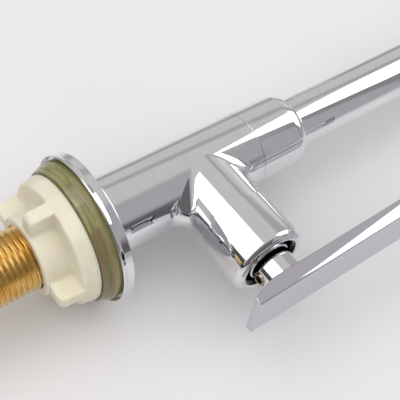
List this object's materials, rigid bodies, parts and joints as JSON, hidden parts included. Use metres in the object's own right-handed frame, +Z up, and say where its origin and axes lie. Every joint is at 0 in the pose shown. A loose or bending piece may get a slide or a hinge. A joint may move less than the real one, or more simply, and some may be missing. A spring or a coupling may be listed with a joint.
{
  "type": "kitchen tap",
  "caption": "Single-lever cold-water tap for a sink deck: an upright body on a round flange, a side branch with a flat lever, and a tall swivelling gooseneck spout.",
  "frame": {"origin": "on the body's centre line at the face that bears on the deck, which is the underside of the base gasket", "axes": "+Z up along the body, away from the deck; +X along the handle branch, away from the body, with the spout reaching towards -X at rest"},
  "size_m": [0.2219, 0.051, 0.3706],
  "materials": {
    "chrome": "bright chrome plate",
    "brass": "machined brass",
    "nut_plastic": "cream moulded plastic",
    "gasket_rubber": "olive translucent rubber",
    "black_rubber": "black rubber",
    "white_plastic": "white moulded plastic",
    "fibre": "red fibre washer",
    "ceramic_white": "lapped alumina",
    "steel": "plain stainless steel",
    "screw_nickel": "tarnished nickel plate"
  },
  "bodies": {
    "tap": {"inlet_shank": "brass", "inlet_washer": "fibre", "base_gasket": "gasket_rubber", "base_flange": "chrome", "tap_body": "chrome", "spout_collar": "chrome", "slip_washer": "white_plastic", "bonnet_sleeve": "chrome", "headwork_washer": "fibre", "headwork_body": "brass", "seat_seal": "black_rubber", "stator_disc": "ceramic_white", "thrust_washer": "white_plastic"},
    "spout": {"split_ring": "white_plastic", "spout_stem": "brass", "spout_orings": "black_rubber", "spout_tube": "chrome", "outlet_tip": "chrome", "aerator_washer": "black_rubber", "aerator_mesh": "steel", "aerator_insert": "white_plastic", "aerator_shell": "chrome"},
    "handle": {"lever": "chrome", "grub_screw": "screw_nickel", "spindle": "brass", "spindle_orings": "black_rubber", "spindle_circlip": "steel", "rotor_disc": "ceramic_white"},
    "nut": {"lock_nut": "nut_plastic"}
  },
  "joints": [
    {"name": "spout_swivel", "type": "hinge", "parent": "tap", "child": "spout", "pos_m": [0, 0, 0.08], "axis": [0, 0, 1], "continuous": true},
    {"name": "lever_turn", "type": "hinge", "parent": "tap", "child": "handle", "pos_m": [0.045, 0, 0.0495], "axis": [1, 0, 0], "range_deg": [0, 90]},
    {"name": "nut_slide", "type": "slide", "parent": "tap", "child": "nut", "axis": [0, 0, -1], "range_m": [0, 0.044]}
  ]
}
